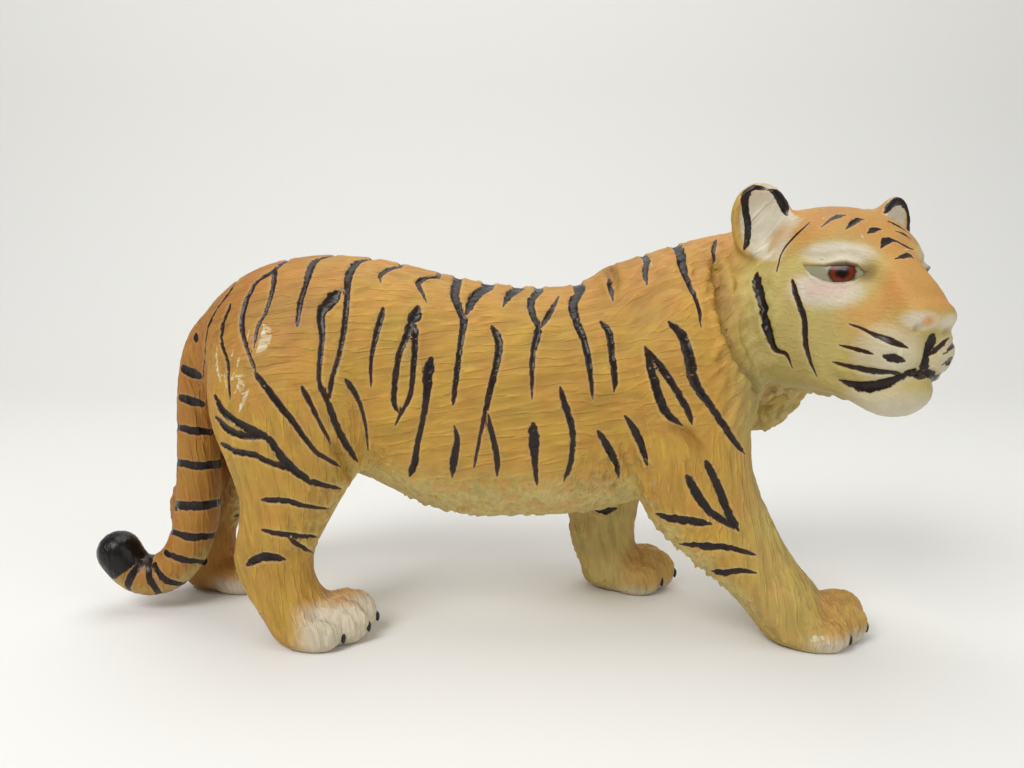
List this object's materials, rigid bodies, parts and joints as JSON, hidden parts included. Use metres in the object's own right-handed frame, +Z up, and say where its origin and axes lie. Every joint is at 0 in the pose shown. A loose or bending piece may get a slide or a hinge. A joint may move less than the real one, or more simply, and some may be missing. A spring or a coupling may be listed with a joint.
{
  "type": "tiger figurine",
  "caption": "Small moulded tiger standing in mid-stride on four flat soles, head turned to its right and tail curled up at the tip.",
  "frame": {"origin": "middle of the outline seen from above, on the plane that the four soles stand on", "axes": "+X runs along the body towards the head, +Y to the animal's left, +Z up"},
  "size_m": [0.1266, 0.0442, 0.0663],
  "materials": {
    "painted_vinyl": "satin paint, orange back, cream belly, black stripes"
  },
  "bodies": {
    "root": {"tiger_figurine": "painted_vinyl"}
  },
  "joints": []
}
